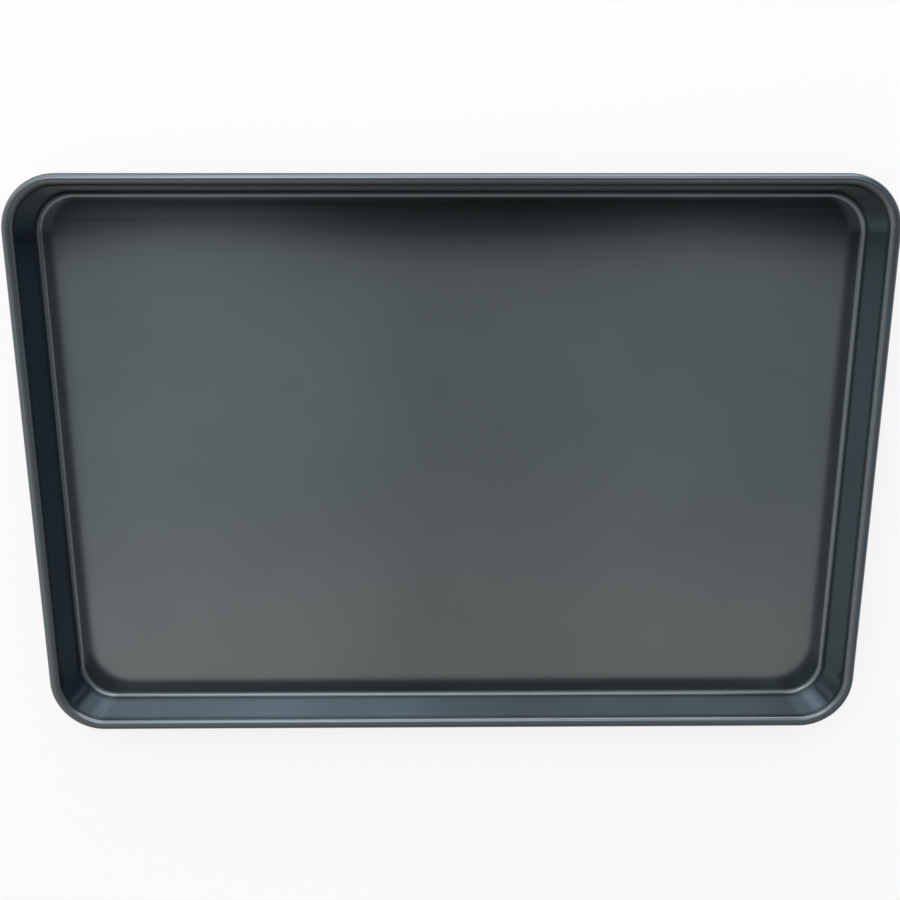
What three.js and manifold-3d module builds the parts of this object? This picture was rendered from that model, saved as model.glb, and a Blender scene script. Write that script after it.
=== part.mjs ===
// Cookie sheet with a rolled rim: a tray pressed from one steel sheet, its edge curled over a steel wire.
// Millimetres, +Z up. The origin is the middle of the underside, and X runs along the long sides.
import * as THREE from "three";
import { mergeVertices } from "three/addons/utils/BufferGeometryUtils.js";
import Module from "manifold-3d";

// Driving dimensions
const LENGTH = 440; // overall along X, outside of the rim
const WIDTH = 295; // overall along Y, outside of the rim
const HEIGHT = 26; // overall, underside of the floor to the top of the rim
const SHEET = 0.8; // thickness of the coated steel
const FLOOR_CORNER = 18; // plan radius at the corners of the flat floor
const FLOOR_FILLET = 2.5; // radius from the floor up into the wall, on the food side
const WALL_DRAFT = 5; // degrees that the wall leans out from upright
const WIRE_DIAMETER = 3.8; // rim wire
const WIRE_CLEARANCE = 0.3; // between the wire and the curl that holds it
const WIRE_BUTT_GAP = 1.5; // between the two cut ends of the wire
const LIP_GAP = 0.7; // between the sheared lip of the curl and the back of the wall

// Facets on each round stretch
const CORNER_STEPS = 10;
const FILLET_STEPS = 6;
const CURL_STEPS = 20;
const WIRE_STEPS = 10;

// Finishes
const COATING = { color: 0x4a5359, roughness: 0.35, metalness: 0.4 };
const BARE_STEEL = { color: 0xb4b8ba, roughness: 0.4, metalness: 1 };

// The section of a side is drawn as it stands at a corner: x is the distance from the corner's upright
// axis, and y is the height. Round a corner the section turns about that axis, and along a side it runs
// straight.
const draft = THREE.MathUtils.degToRad(WALL_DRAFT);
const intoSheet = new THREE.Vector2(Math.cos(draft), -Math.sin(draft)); // square to the wall, to its back
const curlInside = WIRE_DIAMETER / 2 + WIRE_CLEARANCE;
const curlOutside = curlInside + SHEET;
const filletCentre = new THREE.Vector2(FLOOR_CORNER, SHEET + FLOOR_FILLET);
const wallFoot = filletCentre.clone().addScaledVector(intoSheet, FLOOR_FILLET);
const curlCentreHeight = HEIGHT - curlOutside;
const wallRise = curlCentreHeight - curlOutside * intoSheet.y - wallFoot.y;
const wallTop = new THREE.Vector2(wallFoot.x + wallRise * Math.tan(draft), wallFoot.y + wallRise);
const curlCentre = wallTop.clone().addScaledVector(intoSheet, curlOutside);
const rimCorner = curlCentre.x + curlOutside; // plan radius of the rim's outside at a corner

// The curl leaves the wall on its food side, goes over the wire, and stops short of the wall's back
const lipShort = THREE.MathUtils.radToDeg(Math.acos((curlInside - LIP_GAP) / curlOutside));
const curlStart = 180 - WALL_DRAFT;
const curlEnd = curlStart - 360 + lipShort;

// The four corner axes, counter-clockwise, each with the angle where its quarter turn starts
const axisX = LENGTH / 2 - rimCorner;
const axisY = WIDTH / 2 - rimCorner;
const corners = [
  { axis: new THREE.Vector2(axisX, axisY), from: 0 },
  { axis: new THREE.Vector2(-axisX, axisY), from: 90 },
  { axis: new THREE.Vector2(-axisX, -axisY), from: 180 },
  { axis: new THREE.Vector2(axisX, -axisY), from: 270 },
];

// Points on a circular arc between two angles in degrees, with both ends.
function arc(centre, radius, from, to, steps) {
  const start = THREE.MathUtils.degToRad(from);
  const end = THREE.MathUtils.degToRad(to);
  const clockwise = to < from;
  return new THREE.EllipseCurve(centre.x, centre.y, radius, radius, start, end, clockwise).getPoints(steps);
}

// The rounded rectangle that one point of the section draws on its way round the tray.
function roundTheTray(point) {
  const outline = corners.flatMap(({ axis, from }) => arc(axis, point.x, from, from + 90, CORNER_STEPS));
  return outline.map((p) => new THREE.Vector3(p.x, p.y, point.y));
}

// Joins rings of points into a skin that faces to the left of the section's own direction.
function skinOf(rings) {
  const across = rings[0].length;
  const triangles = [];
  for (let i = 0; i + 1 < rings.length; i++) {
    for (let j = 0; j < across; j++) {
      const next = (j + 1) % across;
      const here = i * across;
      const outer = here + across;
      triangles.push(here + j, outer + j, outer + next, here + j, outer + next, here + next);
    }
  }
  return triangles;
}

// Sweeps a section round the tray. An open section gets a flat floor inside its first and last rings.
function sweepRoundTheTray(section, flatFloor) {
  const rings = section.map(roundTheTray);
  const triangles = skinOf(rings);
  if (flatFloor) {
    const last = (rings.length - 1) * rings[0].length;
    for (const [a, b, c] of THREE.ShapeUtils.triangulateShape(rings[0], [])) {
      triangles.push(a, b, c, last + a, last + c, last + b);
    }
  }
  const geometry = new THREE.BufferGeometry().setFromPoints(rings.flat());
  geometry.setIndex(triangles);
  return mergeVertices(geometry);
}

// Pressed tray: floor, wall and curl as one sheet, food side first and then back along the underside.
function trayGeometry() {
  const section = [
    ...arc(filletCentre, FLOOR_FILLET, -90, -WALL_DRAFT, FILLET_STEPS),
    ...arc(curlCentre, curlOutside, curlStart, curlEnd, CURL_STEPS),
    ...arc(curlCentre, curlInside, curlEnd, curlStart, CURL_STEPS),
    ...arc(filletCentre, FLOOR_FILLET + SHEET, -WALL_DRAFT, -90, FILLET_STEPS),
  ];
  return sweepRoundTheTray(section, true);
}

// Rim wire: bent to the rim's outline inside the curl, its ends butted in the middle of the back edge.
function wireGeometry(wasm) {
  const ring = sweepRoundTheTray(arc(curlCentre, WIRE_DIAMETER / 2, 360, 0, WIRE_STEPS), false);
  const slot = new THREE.BoxGeometry(WIRE_BUTT_GAP, 2 * WIRE_DIAMETER, 2 * WIRE_DIAMETER);
  slot.translate(0, axisY + curlCentre.x, curlCentre.y);
  return geometryOf(solidOf(wasm, ring).subtract(solidOf(wasm, slot)));
}

function solidOf(wasm, geometry) {
  const bare = geometry.clone();
  bare.deleteAttribute("normal");
  bare.deleteAttribute("uv");
  const welded = mergeVertices(bare);
  const vertProperties = welded.attributes.position.array;
  const triVerts = new Uint32Array(welded.index.array);
  return new wasm.Manifold(new wasm.Mesh({ numProp: 3, vertProperties, triVerts }));
}

function geometryOf(solid) {
  const { vertProperties, triVerts } = solid.getMesh();
  const geometry = new THREE.BufferGeometry();
  geometry.setAttribute("position", new THREE.BufferAttribute(vertProperties, 3));
  geometry.setIndex(new THREE.BufferAttribute(triVerts, 1));
  return geometry;
}

function piece(name, geometry, finish) {
  geometry.computeVertexNormals();
  const mesh = new THREE.Mesh(geometry, new THREE.MeshStandardMaterial(finish));
  mesh.name = name;
  return mesh;
}

const wasm = await Module();
wasm.setup();

const cookieSheet = new THREE.Group();
cookieSheet.add(piece("pressed_tray", trayGeometry(), COATING));
cookieSheet.add(piece("rim_wire", wireGeometry(wasm), BARE_STEEL));

export default cookieSheet;
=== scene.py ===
# %% [markdown]
# # A cookie sheet with a rolled rim
# The real tray is one sheet of steel. A press draws it down into a shallow tray, trims it, and curls its
# edge over a wire, and then it gets a dark non-stick coating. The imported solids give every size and
# place, so the lesson starts by loading them as a fixed frame. They are exact but faceted. What Blender
# adds is a smooth skin over the same section, the finish of the coating, the light and the camera.

# %% Load the frame
import math

import bpy
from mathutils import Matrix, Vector


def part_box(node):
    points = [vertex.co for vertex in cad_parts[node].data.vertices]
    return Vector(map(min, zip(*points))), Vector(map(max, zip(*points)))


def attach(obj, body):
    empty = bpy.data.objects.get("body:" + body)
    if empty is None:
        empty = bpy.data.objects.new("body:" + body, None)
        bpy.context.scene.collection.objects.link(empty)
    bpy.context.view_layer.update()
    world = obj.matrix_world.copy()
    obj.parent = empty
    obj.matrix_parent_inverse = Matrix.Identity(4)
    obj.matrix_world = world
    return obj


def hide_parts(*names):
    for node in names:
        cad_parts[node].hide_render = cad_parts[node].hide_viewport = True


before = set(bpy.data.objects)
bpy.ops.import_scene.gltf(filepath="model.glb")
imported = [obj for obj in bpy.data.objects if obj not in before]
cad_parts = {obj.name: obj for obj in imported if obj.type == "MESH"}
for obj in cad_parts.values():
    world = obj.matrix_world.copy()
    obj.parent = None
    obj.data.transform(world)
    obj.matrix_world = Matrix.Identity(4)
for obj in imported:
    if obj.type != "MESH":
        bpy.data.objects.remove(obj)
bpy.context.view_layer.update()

print("nodes:", sorted(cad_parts))

# %% [markdown]
# ## Sizes
# Everything is in metres. The outline and the rim's height are read from the tray's box, and the curl's
# centre from the box of the wire, because the wire lies in the middle of the curl. Only what a box cannot
# tell is written down: the sheet, the fold at the foot of the wall, the lean of the wall and the floor's
# corners.

# %% Sizes from the frame
SHEET = 0.0008

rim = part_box("pressed_tray")[1]
wire_low, wire_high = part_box("rim_wire")
curl_height = (wire_low.z + wire_high.z) / 2
curl_outside = rim.z - curl_height
curl_inside = curl_outside - SHEET
wire_radius = wire_high.x - (rim.x - curl_outside)
print("curl radius, mm:", round(1000 * curl_outside, 2))
print("wire radius, mm:", round(1000 * wire_radius, 2))

# %% Sizes of the section
FLOOR_CORNER = 0.018
FLOOR_FILLET = 0.0025
WALL_DRAFT = math.radians(5)
LIP_GAP = 0.0007

into_sheet = Vector((math.cos(WALL_DRAFT), 0, -math.sin(WALL_DRAFT)))
up_the_wall = Vector((math.sin(WALL_DRAFT), 0, math.cos(WALL_DRAFT)))
fillet_turn = math.pi / 2 - WALL_DRAFT
curl_turn = 2 * math.pi - math.acos((curl_inside - LIP_GAP) / curl_outside)
fillet_height = SHEET + FLOOR_FILLET
wall_rise = curl_height - curl_outside * into_sheet.z - (fillet_height + FLOOR_FILLET * into_sheet.z)
wall_length = wall_rise / up_the_wall.z
both_bends = (FLOOR_FILLET + curl_outside) * into_sheet.x
rim_corner = FLOOR_CORNER + both_bends + wall_length * up_the_wall.x + curl_outside
corner_axis = Vector((rim.x - rim_corner, rim.y - rim_corner, 0))
print("rim corner radius, mm:", round(1000 * rim_corner, 2))
print("wall length, mm:", round(1000 * wall_length, 2))

# %% [markdown]
# ## Helpers for working by hand in code
# Operators act on whatever is selected, and the frame's own objects are still selected after loading. So
# each new piece starts from a clean selection, and inside edit mode every step selects what it works on
# by place.

# %% Helpers
def start_piece(name, add_primitive, **settings):
    """Adds a primitive with nothing else selected, names it and opens it in edit mode."""
    bpy.ops.object.select_all(action="DESELECT")
    add_primitive(**settings)
    piece = bpy.context.object
    piece.name = name
    piece.data.name = name
    bpy.ops.object.transform_apply(location=True, rotation=True)
    bpy.ops.object.mode_set(mode="EDIT")
    bpy.ops.mesh.select_mode(type="VERT")
    bpy.ops.mesh.select_all(action="SELECT")
    return piece


def start_point(name, place):
    """Opens a new piece that is a single point: a small plane whose corners are merged."""
    piece = start_piece(name, bpy.ops.mesh.primitive_plane_add, size=FLOOR_FILLET, location=place)
    bpy.ops.mesh.merge(type="CENTER")
    return piece


def choose(piece, mode, wanted):
    """Selects the edges or faces of the open piece whose corners all lie where wanted(point) is true."""
    bpy.ops.mesh.select_mode(type=mode)
    bpy.ops.mesh.select_all(action="DESELECT")
    bpy.ops.object.mode_set(mode="OBJECT")
    points = piece.data.vertices
    for element in {"EDGE": piece.data.edges, "FACE": piece.data.polygons}[mode]:
        element.select = all(wanted(points[index].co) for index in element.vertices)
    bpy.ops.object.mode_set(mode="EDIT")


def push_selection(move):
    """Extrudes what is selected along a vector."""
    bpy.ops.mesh.extrude_region_move(TRANSFORM_OT_translate={"value": move})


def apply_modifier(piece, name, kind, **settings):
    """Adds a modifier with its settings and applies it."""
    modifier = piece.modifiers.new(name, kind)
    for setting, value in settings.items():
        setattr(modifier, setting, value)
    bpy.ops.object.modifier_apply(modifier=name)


def report(piece):
    """Prints how much mesh a piece has by now."""
    print(piece.name + ":", len(piece.data.vertices), "vertices,", len(piece.data.polygons), "faces")


# %% [markdown]
# ## The tray: one section line
# A drawn tray has the same section all the way round, so the section is the thing to model. It could be
# drawn as a curve, but with operators it is bent up as on a folding bench: one point at the edge of the
# floor is spun up through the fold, pushed along the wall, and spun over the wire until its lip nearly
# meets the wall. The short pushes at both ends of the wall keep the bends from shading over the flat
# part.

# %% The section of a side
FILLET_STEPS = 14
CURL_STEPS = 40
WALL_MARGIN = 0.0012

floor_edge = corner_axis + Vector((FLOOR_CORNER, 0, SHEET))
fillet_centre = corner_axis + Vector((FLOOR_CORNER, 0, fillet_height))
curl_centre = Vector((rim.x - curl_outside, corner_axis.y, curl_height))

tray = start_point("nonstick_tray", floor_edge)
bpy.ops.mesh.spin(steps=FILLET_STEPS, angle=fillet_turn, center=fillet_centre, axis=(0, 1, 0))
for length in (WALL_MARGIN, wall_length - 2 * WALL_MARGIN, WALL_MARGIN):
    push_selection(length * up_the_wall)
bpy.ops.mesh.spin(steps=CURL_STEPS, angle=-curl_turn, center=curl_centre, axis=(0, 1, 0))
bpy.ops.object.mode_set(mode="OBJECT")
report(tray)

# %% [markdown]
# ## The tray: corners and sides
# At a corner the press turns the section about an upright axis, so the corner is a spin of a quarter
# turn. Along a side the section runs straight, so both ends of the corner are pushed to the middle of
# their sides. A mirror in X and Y makes the other three quarters. This gives the true drawn corner, whose
# radius grows from the floor to the rim, which a bevelled box would not.

# %% One corner and two half sides
CORNER_STEPS = 30
SIDE_MARGIN = 0.003
NEAR = 1e-6


def turn_the_corner_and_run_on(piece):
    """Spins the selected section round the corner and pushes both ends to the middle planes."""
    bpy.ops.mesh.spin(steps=CORNER_STEPS, angle=-math.pi / 2, center=corner_axis, axis=(0, 0, 1))
    for length in (SIDE_MARGIN, corner_axis.x - SIDE_MARGIN):
        push_selection((-length, 0, 0))
    choose(piece, "EDGE", lambda point: abs(point.y - corner_axis.y) < NEAR)
    for length in (SIDE_MARGIN, corner_axis.y - SIDE_MARGIN):
        push_selection((0, -length, 0))
    bpy.ops.object.mode_set(mode="OBJECT")
    apply_modifier(piece, "Mirror", "MIRROR", use_axis=(True, True, False), merge_threshold=NEAR)


bpy.ops.object.mode_set(mode="EDIT")
bpy.ops.mesh.select_all(action="SELECT")
turn_the_corner_and_run_on(tray)
report(tray)

# %% [markdown]
# ## The tray: floor and thickness
# The flat floor closes the inner edge. A narrow inset keeps the bend's shading at the bend. Then Solidify
# gives the sheet its thickness on the back of the food side, so the wall, the curl and the lip are all
# one gauge.

# %% Floor
FLOOR_MARGIN = 0.002

bpy.ops.object.mode_set(mode="EDIT")
choose(tray, "EDGE", lambda point: abs(point.z - SHEET) < NEAR)
bpy.ops.mesh.edge_face_add()
bpy.ops.mesh.inset(thickness=FLOOR_MARGIN)
bpy.ops.mesh.select_all(action="SELECT")
bpy.ops.mesh.normals_make_consistent(inside=False)
bpy.ops.object.mode_set(mode="OBJECT")
floor_face = max(tray.data.polygons, key=lambda face: face.area)
if floor_face.normal.z < 0:
    bpy.ops.object.mode_set(mode="EDIT")
    bpy.ops.mesh.flip_normals()
    bpy.ops.object.mode_set(mode="OBJECT")
print("floor, square mm:", round(1e6 * floor_face.area), " faces up:", floor_face.normal.z > 0)
report(tray)

# %% Thickness
SMOOTH_BELOW = math.radians(40)

apply_modifier(tray, "Sheet", "SOLIDIFY", thickness=SHEET, offset=-1, use_even_offset=True)
bpy.ops.object.shade_smooth_by_angle(angle=SMOOTH_BELOW)
report(tray)

# %% [markdown]
# ## The wire in the rim
# A steel wire of just under four millimetres stiffens the edge. It is the same walk round the tray with a
# circle in place of the section line, so the corner helper is used again. Its two ends are butted, not
# welded: one ring of edges in the middle of the back side is bevelled open, the band between is deleted,
# and the ends are closed.

# %% The wire
WIRE_STEPS = 24

wire = start_piece("rim_wire_round", bpy.ops.mesh.primitive_circle_add, vertices=WIRE_STEPS,
                   radius=wire_radius, location=curl_centre, rotation=(math.pi / 2, 0, 0))
turn_the_corner_and_run_on(wire)
report(wire)

# %% Its butted ends
WIRE_BUTT_GAP = 0.0015


def in_the_joint(point):
    """Tells whether a point lies in the gap between the wire's two ends."""
    return abs(point.x) < WIRE_BUTT_GAP / 2 + NEAR and point.y > 0


bpy.ops.object.mode_set(mode="EDIT")
choose(wire, "EDGE", lambda point: abs(point.x) < NEAR and point.y > 0)
bpy.ops.mesh.bevel(offset=WIRE_BUTT_GAP / 2, segments=1, affect="EDGES")
choose(wire, "FACE", in_the_joint)
bpy.ops.mesh.delete(type="FACE")
for side in (-1, 1):
    choose(wire, "EDGE", lambda point: in_the_joint(point) and side * point.x > 0)
    bpy.ops.mesh.edge_face_add()
bpy.ops.mesh.select_all(action="SELECT")
bpy.ops.mesh.normals_make_consistent(inside=False)
bpy.ops.object.mode_set(mode="OBJECT")
bpy.ops.object.shade_smooth_by_angle(angle=SMOOTH_BELOW)
joint = [corner.co.x for corner in wire.data.vertices if in_the_joint(corner.co)]
print("joint, mm:", round(1000 * (max(joint) - min(joint)), 2))
report(wire)

# %% [markdown]
# ## Material helpers
# Both finishes are built from the same few nodes, so they get short helpers. All patterns use Object
# coordinates, which are metres on the real tray: a noise scale of 100 means spots of about a centimetre.

# %% Nodes and links
def new_material(name):
    """Makes a material and returns it with its node tree and its shader."""
    material = bpy.data.materials.new(name)
    material.use_nodes = True
    return material, material.node_tree, material.node_tree.nodes["Principled BSDF"]


def add_node(tree, kind, **settings):
    """Adds a node and sets its properties, or its input sockets where the name is a socket's."""
    node = tree.nodes.new(kind)
    for setting, value in settings.items():
        socket = node.inputs.get(setting.replace("_", " ").title())
        if socket is None:
            setattr(node, setting, value)
        else:
            socket.default_value = value
    return node


def feed(tree, source, socket):
    """Links another node's output to a socket, or writes a plain value into it."""
    if isinstance(source, bpy.types.NodeSocket):
        tree.links.new(source, socket)
    else:
        socket.default_value = source


# %% Patterns
NOISE_MOSTLY = (0.3, 0.7)


def object_noise(tree, per_metre, detail):
    """Noise in Object coordinates with its own scale along X, Y and Z."""
    place = add_node(tree, "ShaderNodeTexCoord")
    scale = add_node(tree, "ShaderNodeMapping", scale=per_metre)
    noise = add_node(tree, "ShaderNodeTexNoise", scale=1, detail=detail)
    tree.links.new(place.outputs["Object"], scale.inputs["Vector"])
    tree.links.new(scale.outputs["Vector"], noise.inputs["Vector"])
    return noise.outputs["Fac"]


def spread(tree, value, low, high):
    """Spreads a noise value over a range. Noise mostly stays in the middle of 0 to 1."""
    least, most = NOISE_MOSTLY
    spreader = add_node(tree, "ShaderNodeMapRange", from_min=least, from_max=most, to_min=low, to_max=high)
    tree.links.new(value, spreader.inputs["Value"])
    return spreader.outputs["Result"]


# %% Colours, ramps and relief
FIRST_COLOUR, SECOND_COLOUR, MIXED_COLOUR = 6, 7, 2
NO_TINT = (1, 1, 1)


def blend(tree, value, first, second, way="MIX"):
    """Mixes two colours by a value from 0 to 1. The colour sockets of a Mix node go by number."""
    mix = add_node(tree, "ShaderNodeMix", data_type="RGBA", blend_type=way)
    feed(tree, value, mix.inputs["Factor"])
    feed(tree, first, mix.inputs[FIRST_COLOUR])
    feed(tree, second, mix.inputs[SECOND_COLOUR])
    return mix.outputs[MIXED_COLOUR]


def ramp(tree, value, stops):
    """A soft ramp: each stop is a place from 0 to 1, a brightness and, where it has one, a tint."""
    node = add_node(tree, "ShaderNodeValToRGB")
    node.color_ramp.interpolation = "EASE"
    for stop in stops[1:-1]:
        node.color_ramp.elements.new(stop[0])
    for element, (place, light, *tint) in zip(node.color_ramp.elements, stops):
        element.position = place
        element.color = (*(light * part for part in (tint[0] if tint else NO_TINT)), 1)
    tree.links.new(value, node.inputs["Fac"])
    return node.outputs["Color"]


def bumps(tree, height, depth, under=None):
    """Bends the shading by a height pattern that is so many metres deep, on top of another bump."""
    bump = add_node(tree, "ShaderNodeBump", distance=depth)
    tree.links.new(height, bump.inputs["Height"])
    if under:
        tree.links.new(under, bump.inputs["Normal"])
    return bump.outputs["Normal"]


# %% [markdown]
# ## The non-stick coating
# The coating is a thin baked film with fine metal flakes. It hardly scatters light: the floor mirrors the
# room, softly and darkly, so it is a metallic shader with a dark blue-grey colour and a low roughness.
# Real coatings are never even, so four patterns are laid over it: cloudy patches a few centimetres wide
# in the colour, the faint rolling grain of the sheet along X in the roughness and the relief, long
# shallow waves, and the orange-peel skin of the baked film. Where the press bent the sheet, at the fold
# and at the bead, the film is rougher, and its colour is made darker there: painted shade that dims the
# highlights of the fold and the bead. A ramp over the height finds these places, because they lie low and
# high.

# %% Coating: where the sheet is bent
BENDS_FROM_FLOOR_TO_RIM = ((0.033, 0), (0.05, 1), (0.15, 1), (0.28, 0), (0.8, 0), (0.88, 1))

coating, tree, shader = new_material("nonstick_coating")
place = add_node(tree, "ShaderNodeTexCoord")
parts = add_node(tree, "ShaderNodeSeparateXYZ")
height = add_node(tree, "ShaderNodeMapRange", from_min=0, from_max=rim.z)
tree.links.new(place.outputs["Object"], parts.inputs["Vector"])
tree.links.new(parts.outputs["Z"], height.inputs["Value"])
bends = ramp(tree, height.outputs["Result"], BENDS_FROM_FLOOR_TO_RIM)

# %% Coating: colour and dullness
FILM_DARK = (0.155, 0.184, 0.196, 1)
FILM_LIGHT = (0.170, 0.201, 0.213, 1)
FILM_WITH_PAINTED_SHADE_ON_BENDS = (0.125, 0.148, 0.156, 1)
FILM_AT_A_SLANT = (0.8, 0.8, 0.8, 1)
FILM_ROUGHNESS = (0.155, 0.185)
EXTRA_ROUGHNESS_ON_BENDS = 0.13
CLOUDS_PER_METRE = (14, 14, 14)
GRAIN_PER_METRE = (5, 420, 420)

clouds = spread(tree, object_noise(tree, CLOUDS_PER_METRE, detail=3), 0, 1)
grain = object_noise(tree, GRAIN_PER_METRE, detail=2)
film = blend(tree, clouds, FILM_DARK, FILM_LIGHT)
# The darker colour at the fold and the bead is painted shade that dims their highlights; the extra
# roughness there is the film's own.
tree.links.new(blend(tree, bends, film, FILM_WITH_PAINTED_SHADE_ON_BENDS), shader.inputs["Base Color"])
rough = add_node(tree, "ShaderNodeMath", operation="MULTIPLY_ADD")
film_rough = spread(tree, grain, *FILM_ROUGHNESS)
for source, socket in zip((bends, EXTRA_ROUGHNESS_ON_BENDS, film_rough), rough.inputs):
    feed(tree, source, socket)
tree.links.new(rough.outputs["Value"], shader.inputs["Roughness"])
shader.inputs["Metallic"].default_value = 1
shader.inputs["Specular Tint"].default_value = FILM_AT_A_SLANT

# %% Coating: relief
WAVES_PER_METRE = (5, 7, 7)
PEEL_PER_METRE = (700, 700, 700)
WAVE_DEPTH = 0.00008
GRAIN_DEPTH = 0.0000006
PEEL_DEPTH = 0.000001

skin = bumps(tree, object_noise(tree, WAVES_PER_METRE, detail=1), WAVE_DEPTH)
skin = bumps(tree, grain, GRAIN_DEPTH, skin)
skin = bumps(tree, object_noise(tree, PEEL_PER_METRE, detail=2), PEEL_DEPTH, skin)
tree.links.new(skin, shader.inputs["Normal"])
tray.data.materials.clear()
tray.data.materials.append(coating)
print("coating nodes:", len(tree.nodes))

# %% [markdown]
# ## The drawn steel of the wire
# The wire is bare bright steel, pulled through a die. The die leaves fine lines along the wire, and a
# thin film of oil leaves darker, duller patches. The wire lies flat, so lines along it are noise that is
# fine in Z only.

# %% Wire steel
STEEL_OILY = (0.40, 0.41, 0.42, 1)
STEEL_BRIGHT = (0.52, 0.53, 0.54, 1)
STEEL_ROUGHNESS = (0.45, 0.28)
PATCHES_PER_METRE = (60, 60, 60)
DIE_LINES_PER_METRE = (40, 40, 2500)
DIE_LINE_DEPTH = 0.000004

steel, tree, shader = new_material("rim_wire_steel")
patches = spread(tree, object_noise(tree, PATCHES_PER_METRE, detail=4), 0, 1)
lines = object_noise(tree, DIE_LINES_PER_METRE, detail=2)
tree.links.new(blend(tree, patches, STEEL_OILY, STEEL_BRIGHT), shader.inputs["Base Color"])
tree.links.new(spread(tree, patches, *STEEL_ROUGHNESS), shader.inputs["Roughness"])
tree.links.new(bumps(tree, lines, DIE_LINE_DEPTH), shader.inputs["Normal"])
shader.inputs["Metallic"].default_value = 1
wire.data.materials.clear()
wire.data.materials.append(steel)
print("steel nodes:", len(tree.nodes))

# %% [markdown]
# ## The table
# The tray stands on a white table. Where the camera or a mirror sees it, most of the white comes from the
# table itself, so it shows as white without more light, and the rest is lit, so it still takes a soft
# shadow.

# %% Table
TABLE_SIZE = 6
TABLE_GAP = 0.0002

bpy.ops.object.select_all(action="DESELECT")
bpy.ops.mesh.primitive_plane_add(size=TABLE_SIZE, location=(0, 0, -TABLE_GAP))
table = bpy.context.object
table.name = "table"
report(table)

# %% Table white
TABLE_WHITE = (0.94, 0.94, 0.94, 1)
TABLE_ROUGHNESS = 0.9
GLOWING_SHARE = 0.78

white, tree, shader = new_material("white_table")
shader.inputs["Base Color"].default_value = TABLE_WHITE
shader.inputs["Roughness"].default_value = TABLE_ROUGHNESS
shader.inputs["Specular IOR Level"].default_value = 0
glow = add_node(tree, "ShaderNodeEmission", strength=1)
rays = add_node(tree, "ShaderNodeLightPath")
seen = add_node(tree, "ShaderNodeMath", operation="MAXIMUM")
share = add_node(tree, "ShaderNodeMath", operation="MULTIPLY")
mix = add_node(tree, "ShaderNodeMixShader")
tree.links.new(rays.outputs["Is Camera Ray"], seen.inputs[0])
tree.links.new(rays.outputs["Is Glossy Ray"], seen.inputs[1])
tree.links.new(seen.outputs["Value"], share.inputs[0])
share.inputs[1].default_value = GLOWING_SHARE
sources = (share.outputs["Value"], shader.outputs["BSDF"], glow.outputs["Emission"])
for output, socket in zip(sources, mix.inputs):
    tree.links.new(output, socket)
tree.links.new(mix.outputs["Shader"], tree.nodes["Material Output"].inputs["Surface"])
table.data.materials.append(white)
print("white that the table gives by itself:", GLOWING_SHARE)

# %% [markdown]
# ## The room
# A dark mirror shows the room more than itself. The world is a plain room, written as a colour that
# depends on the direction: a soft ramp from left to right, brightest low on the left and bluish half way
# up on the right, times one from the front to straight above, which is a little brighter and warmer over
# the front edge. The tray mirrors this room, and the camera itself sees plain white.

# %% Room
SKY_BLUE = (0.78, 1, 1.32)
WARM = (1.08, 1, 0.955)
ROOM_FROM_LEFT_TO_RIGHT = ((0, 1.1), (0.05, 0.85), (0.15, 0.45), (0.21, 0.7), (0.29, 0.44), (0.35, 0.61),
                           (0.42, 0.58), (0.5, 0.45), (0.62, 0.51), (0.73, 0.44), (0.78, 0.42, SKY_BLUE),
                           (0.84, 0.36, SKY_BLUE), (0.91, 0.25), (0.96, 0.5), (1, 0.6))
ROOM_FROM_FRONT_TO_TOP = ((0, 0.5, WARM), (0.5, 1.26, WARM), (0.61, 1.25, WARM), (0.73, 1.05), (1, 1.03))

world = bpy.data.worlds.new("room")
bpy.context.scene.world = world
world.use_nodes = True
tree = world.node_tree
where = add_node(tree, "ShaderNodeTexCoord")
parts = add_node(tree, "ShaderNodeSeparateXYZ")
across = add_node(tree, "ShaderNodeMapRange", from_min=-1, from_max=1)
forward = add_node(tree, "ShaderNodeMapRange", from_min=-1, from_max=0)
tree.links.new(where.outputs["Generated"], parts.inputs["Vector"])
tree.links.new(parts.outputs["X"], across.inputs["Value"])
tree.links.new(parts.outputs["Y"], forward.inputs["Value"])
sideways = ramp(tree, across.outputs["Result"], ROOM_FROM_LEFT_TO_RIGHT)
overhead = ramp(tree, forward.outputs["Result"], ROOM_FROM_FRONT_TO_TOP)
room_light = blend(tree, 1, sideways, overhead, way="MULTIPLY")
print("room, left to right:", [stop[1] for stop in ROOM_FROM_LEFT_TO_RIGHT])

# %% White for the camera
PLAIN_WHITE = (1, 1, 1, 1)

background = tree.nodes["Background"]
background.inputs["Strength"].default_value = 1
tree.links.new(room_light, background.inputs["Color"])
plain = add_node(tree, "ShaderNodeBackground", color=PLAIN_WHITE, strength=1)
rays = add_node(tree, "ShaderNodeLightPath")
mix = add_node(tree, "ShaderNodeMixShader")
sources = (rays.outputs["Is Camera Ray"], background.outputs["Background"], plain.outputs["Background"])
for output, socket in zip(sources, mix.inputs):
    tree.links.new(output, socket)
tree.links.new(mix.outputs["Shader"], tree.nodes["World Output"].inputs["Surface"])
print("room nodes:", len(tree.nodes))

# %% [markdown]
# ## The lights
# The bright parts of the room are soft panels: a window behind the tray, the wall under it, and a weak
# fill on the left. A panel is written as it is seen from the tray: the way it stands, how high, how wide
# and tall it looks, all in degrees, and how bright it is next to white paper. Angle 0 is to the right,
# and 90 is behind. Most panels stand near. The fill stands far off, because then the whole tray sees it
# in the same direction.

# %% Lights
NEAR_STAND = 1.5
FAR_STAND = 6
COOL = (1, 0.96, 1.04)


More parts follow.
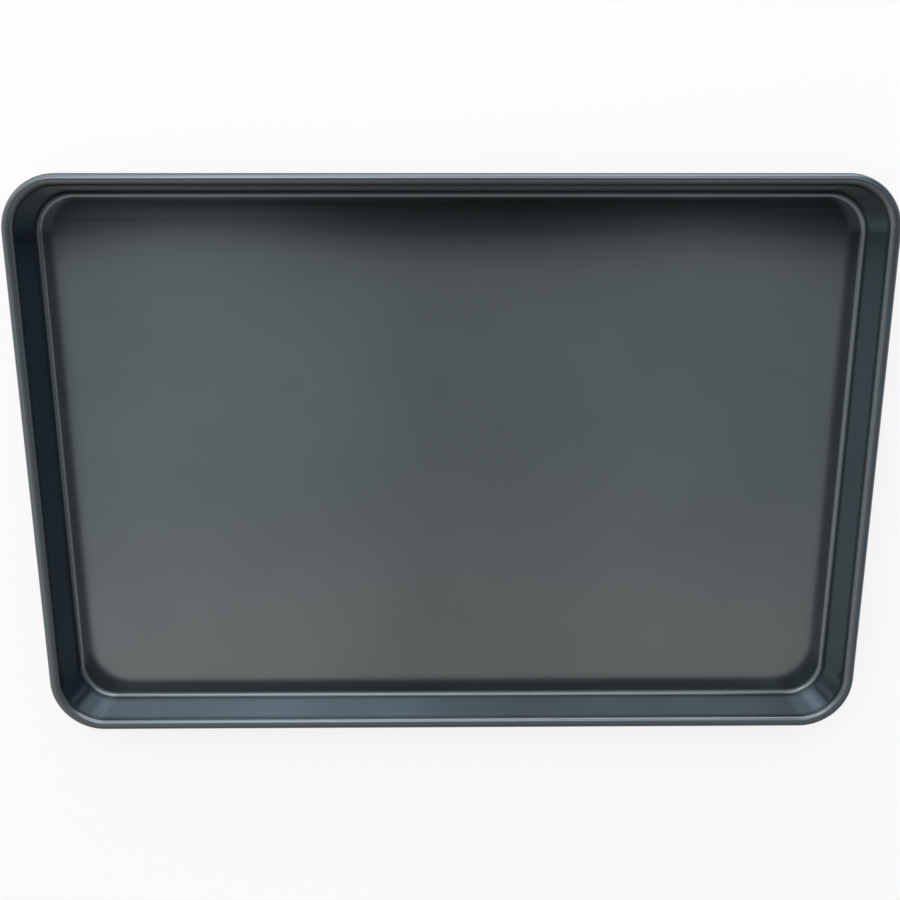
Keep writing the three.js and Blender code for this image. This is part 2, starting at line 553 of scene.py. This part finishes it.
def softbox(name, around, above, wide, tall, brightness, colour=NO_TINT, distance=NEAR_STAND):
    """Hangs a soft panel that faces the tray."""
    lamp = bpy.data.lights.new(name, "AREA")
    lamp.shape = "RECTANGLE"
    lamp.size = 2 * distance * math.tan(math.radians(wide / 2))
    lamp.size_y = 2 * distance * math.tan(math.radians(tall / 2))
    lamp.energy = brightness * math.pi * lamp.size * lamp.size_y
    lamp.color = colour
    stand = bpy.data.objects.new(name, lamp)
    bpy.context.scene.collection.objects.link(stand)
    around, above = math.radians(around), math.radians(above)
    flat = distance * math.cos(above)
    stand.location = (flat * math.cos(around), flat * math.sin(around), distance * math.sin(above))
    stand.rotation_euler = (-stand.location).to_track_quat("-Z", "Y").to_euler()
    print(name + ":", round(lamp.energy, 2), "W")


softbox("window", 72, 50, 34, 18, 2.5, COOL)
softbox("window_left", 116, 50, 28, 18, 3.5, COOL)
softbox("window_streak", 115, 40, 7, 40, 1.3, COOL)
softbox("window_right", 30, 50, 20, 18, 0.9, COOL)
softbox("window_edge", 105, 20, 13, 40, 2.1, COOL)
softbox("window_low", 82, 28, 36, 24, 0.6, COOL)
softbox("back_wall", 75, 8, 45, 16, 4.4)
softbox("back_wall_left", 135, 8, 45, 16, 2.0)
softbox("left_wall", 131, 28, 33, 24, 0.7)
softbox("left_corner", 152, 50, 24, 16, 1.3)
softbox("left_fill", 185, 54, 18, 13, 0.9, distance=FAR_STAND)
softbox("left_fill_front", 210, 50.5, 18, 12, 0.9, distance=FAR_STAND)

# %% [markdown]
# ## The camera
# The camera hangs close over the back half of the tray and leans to the front, so that the back looks
# longer than the front and the inside of the front wall shows more than that of the back wall. Its place
# and turn come from fitting a pinhole camera to the edges of the tray in the picture, so they are written
# to a part of a millimetre.

# %% Camera
PICTURE_PIXELS = 900
FOCAL_PIXELS = 914
SENSOR_MM = 36
CAMERA_X, CAMERA_Y = -0.00559, 0.11677
CAMERA_OVER_BEAD = 0.45997
CAMERA_TURN_DEGREES = (-13.04, -0.505, -0.035)

camera_data = bpy.data.cameras.new("camera")
camera_data.sensor_width = SENSOR_MM
camera_data.lens = SENSOR_MM * FOCAL_PIXELS / PICTURE_PIXELS
camera = bpy.data.objects.new("camera", camera_data)
bpy.context.scene.collection.objects.link(camera)
camera.location = (CAMERA_X, CAMERA_Y, curl_height + CAMERA_OVER_BEAD)
camera.rotation_euler = [math.radians(turn) for turn in CAMERA_TURN_DEGREES]
bpy.context.scene.camera = camera
print("lens, mm:", round(camera_data.lens, 2))

# %% [markdown]
# ## The dark shape over the camera
# A camera that close stands in its own light, and the back of the floor mirrors it. A dark board does the
# same here. Its front edge is one point pushed from left to right past the lens, and then the whole line
# is pushed up and back, so steeply that the light of the window passes under it. The camera doesn't see
# it, only the tray does.

# %% Dark board
BOARD_HEIGHT = 0.49
BOARD_SLOPE = Vector((0, 0.35, 0.41))
BOARD_EDGE = ((-0.6, 0.095), (-0.42, 0.105), (-0.35, 0.121), (-0.28, 0.128), (-0.2, 0.126),
              (-0.11, 0.114), (0, 0.109), (0.1, 0.111), (0.18, 0.117), (0.26, 0.121),
              (0.34, 0.116), (0.42, 0.106), (0.6, 0.095))

points = [Vector((*point, BOARD_HEIGHT)) for point in BOARD_EDGE]
board = start_point("dark_board", points[0])
for here, there in zip(points, points[1:]):
    push_selection(there - here)
bpy.ops.mesh.select_all(action="SELECT")
push_selection(BOARD_SLOPE)
bpy.ops.object.mode_set(mode="OBJECT")
board.visible_camera = False
report(board)

# %% Board black
BOARD_BLACK = (0.004, 0.004, 0.004, 1)

black, tree, shader = new_material("dark_board")
shader.inputs["Base Color"].default_value = BOARD_BLACK
shader.inputs["Roughness"].default_value = 1
shader.inputs["Specular IOR Level"].default_value = 0
board.data.materials.append(black)
print("board:", black.name)

# %% [markdown]
# ## Finish
# Each new piece takes the place of one imported solid and rides on the part's one body. The Standard view
# shows colours as they are written.

# %% Finish
for piece, node, slot in ((tray, "pressed_tray", "nonstick_coating"), (wire, "rim_wire", "rim_wire_steel")):
    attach(piece, "root")
    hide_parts(node)
bpy.context.scene.view_settings.view_transform = "Standard"
